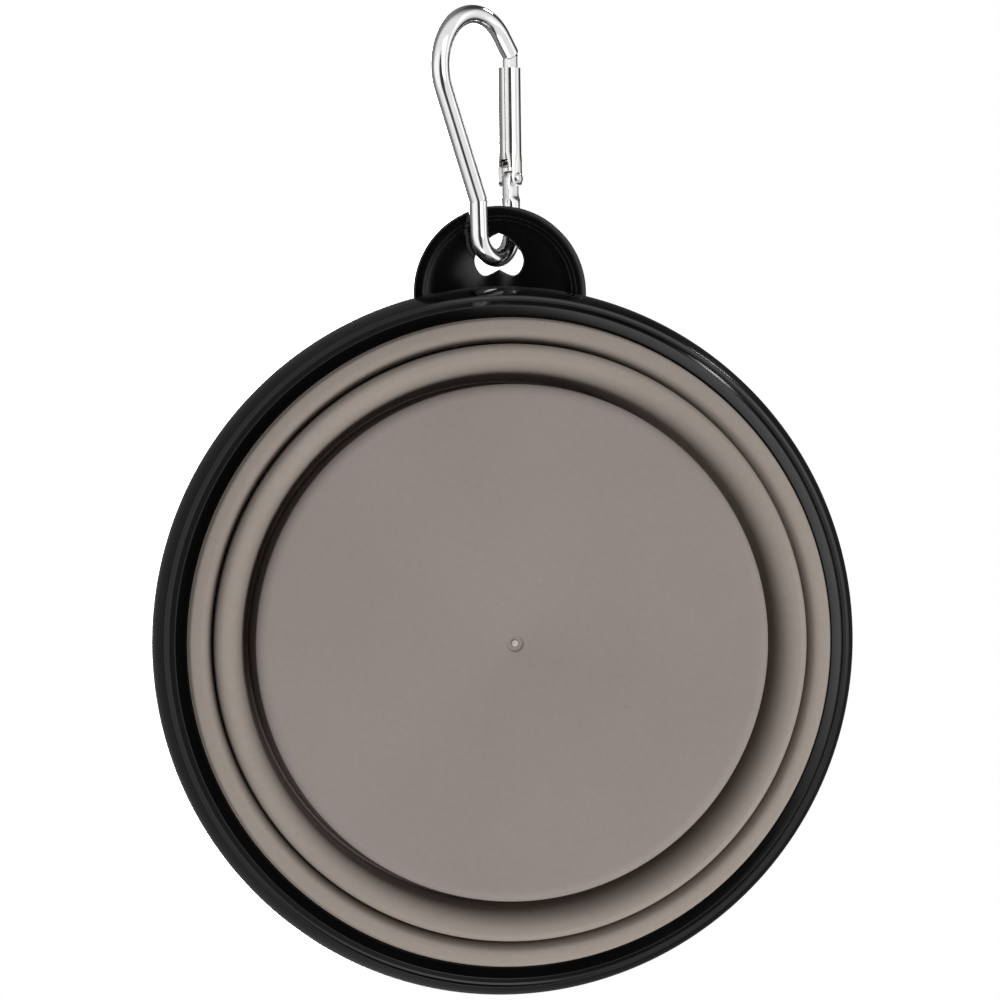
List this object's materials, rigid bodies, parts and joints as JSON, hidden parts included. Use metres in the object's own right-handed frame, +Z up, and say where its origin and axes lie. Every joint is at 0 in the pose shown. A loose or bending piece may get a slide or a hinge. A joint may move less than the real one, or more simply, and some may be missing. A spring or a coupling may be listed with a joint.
{
  "type": "collapsible pet bowl",
  "caption": "Round pet bowl with a flexible wall that folds flat in rings inside a stiff rim, and a sprung hook clipped through the rim's hanging tab.",
  "frame": {"origin": "centre of the underside of the base disc, on the surface the bowl stands on", "axes": "+Z up through the mouth of the bowl, -Y towards the hanging tab and its hook, +X completes the right-handed frame"},
  "size_m": [0.13, 0.1813, 0.0194],
  "materials": {
    "rim": "glossy black",
    "flexible_wall": "smooth satin warm grey",
    "hook": "polished",
    "gate": "polished",
    "steel": "plain"
  },
  "bodies": {
    "base": {"base_cup": "flexible_wall", "lower_fold_web": "flexible_wall"},
    "middle": {"middle_wall": "flexible_wall", "upper_fold_web": "flexible_wall"},
    "rim": {"rim_ring": "rim", "rim_collar": "flexible_wall"},
    "carabiner": {"carabiner_hook": "hook"},
    "gate": {"carabiner_gate": "gate", "gate_rivet": "steel", "gate_spring": "steel"}
  },
  "joints": [
    {"name": "lower_fold", "type": "slide", "parent": "base", "child": "middle", "axis": [0, 0, 1], "range_m": [0, 0.0239], "deforming": ["lower_fold_web"]},
    {"name": "upper_fold", "type": "slide", "parent": "middle", "child": "rim", "axis": [0, 0, 1], "range_m": [0, 0.0161], "deforming": ["upper_fold_web"]},
    {"name": "carabiner_swing", "type": "hinge", "parent": "rim", "child": "carabiner", "pos_m": [-0.0003, -0.0703, 0.0141], "axis": [0, 0, 1], "range_deg": [-45, 45]},
    {"name": "gate_open", "type": "hinge", "parent": "carabiner", "child": "gate", "pos_m": [0.00279, -0.08485, 0.01697], "axis": [0.6756, 0, -0.7373], "range_deg": [0, 41], "stiffness_Nm_per_rad": 0.03, "springref_deg": -28.65}
  ]
}
